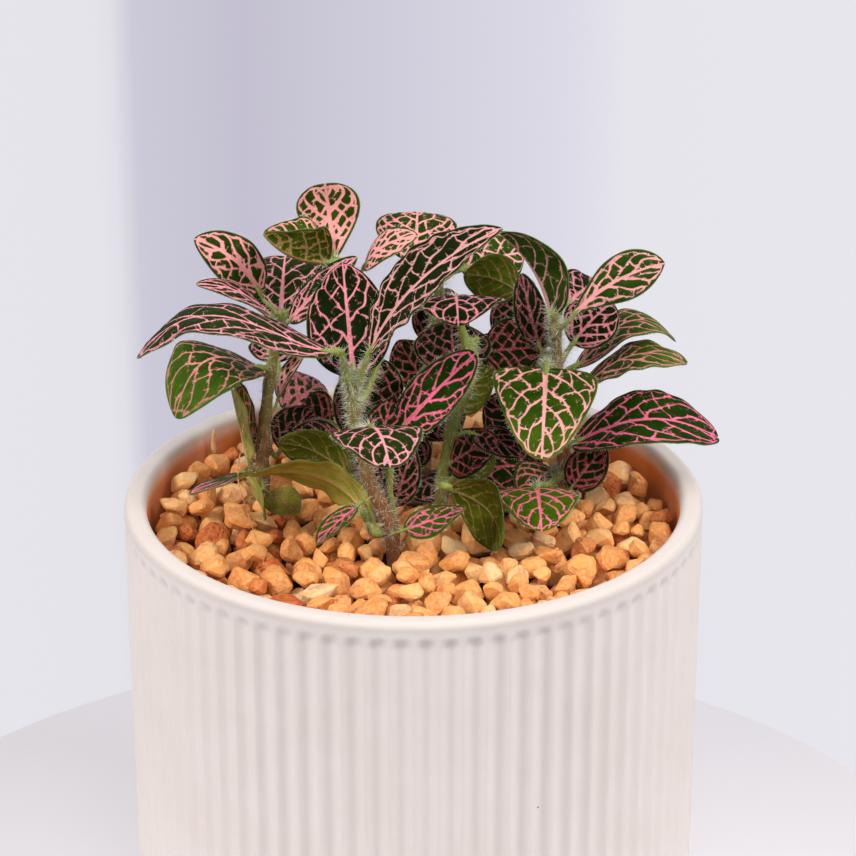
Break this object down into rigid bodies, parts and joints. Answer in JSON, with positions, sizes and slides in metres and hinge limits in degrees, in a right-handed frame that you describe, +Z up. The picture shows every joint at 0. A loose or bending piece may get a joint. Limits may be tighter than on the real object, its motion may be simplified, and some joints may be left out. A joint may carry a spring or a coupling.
{
  "type": "potted nerve plant",
  "caption": "Small nerve plant with pink-veined oval leaves, growing through loose stones in a fluted white cylinder pot.",
  "frame": {"origin": "centre of the pot's flat base, on the surface it stands on", "axes": "+Z up the pot's axis to the top of the leaves; -Y towards the viewer of the picture, +X to the right"},
  "size_m": [0.1287, 0.125, 0.1849],
  "materials": {
    "pot": "matte",
    "soil": "matte",
    "gravel": "matte",
    "stem": "satin",
    "leaf": "satin"
  },
  "bodies": {
    "root": {"pot": "pot", "potting_soil": "soil", "gravel_bed": "gravel", "front_stem": "stem", "left_stem": "stem", "right_stem": "stem", "middle_stem": "stem", "tall_left_stem": "stem", "tall_right_stem": "stem", "back_stem": "stem", "front_leaf_1": "leaf", "front_leaf_2": "leaf", "front_leaf_3": "leaf", "front_leaf_4": "leaf", "front_leaf_5": "leaf", "front_leaf_6": "leaf", "left_leaf_1": "leaf", "left_leaf_2": "leaf", "left_leaf_3": "leaf", "left_leaf_4": "leaf", "left_leaf_5": "leaf", "left_leaf_6": "leaf", "left_leaf_7": "leaf", "left_leaf_8": "leaf", "left_leaf_9": "leaf", "left_leaf_10": "leaf", "left_leaf_11": "leaf", "right_leaf_1": "leaf", "right_leaf_2": "leaf", "right_leaf_3": "leaf", "right_leaf_4": "leaf", "right_leaf_5": "leaf", "right_leaf_6": "leaf", "right_leaf_7": "leaf", "right_leaf_8": "leaf", "right_leaf_9": "leaf", "right_leaf_10": "leaf", "right_leaf_11": "leaf", "middle_leaf_1": "leaf", "middle_leaf_2": "leaf", "middle_leaf_3": "leaf", "middle_leaf_4": "leaf", "middle_leaf_5": "leaf", "middle_leaf_6": "leaf", "inner_leaf_1": "leaf", "inner_leaf_2": "leaf", "inner_leaf_3": "leaf", "inner_leaf_4": "leaf", "inner_leaf_5": "leaf", "shade_leaf_1": "leaf", "shade_leaf_2": "leaf", "shade_leaf_3": "leaf", "under_leaf_1": "leaf", "under_leaf_2": "leaf", "under_leaf_3": "leaf", "low_leaf_1": "leaf", "low_leaf_2": "leaf", "low_leaf_3": "leaf", "low_leaf_4": "leaf", "low_leaf_5": "leaf"}
  },
  "joints": []
}
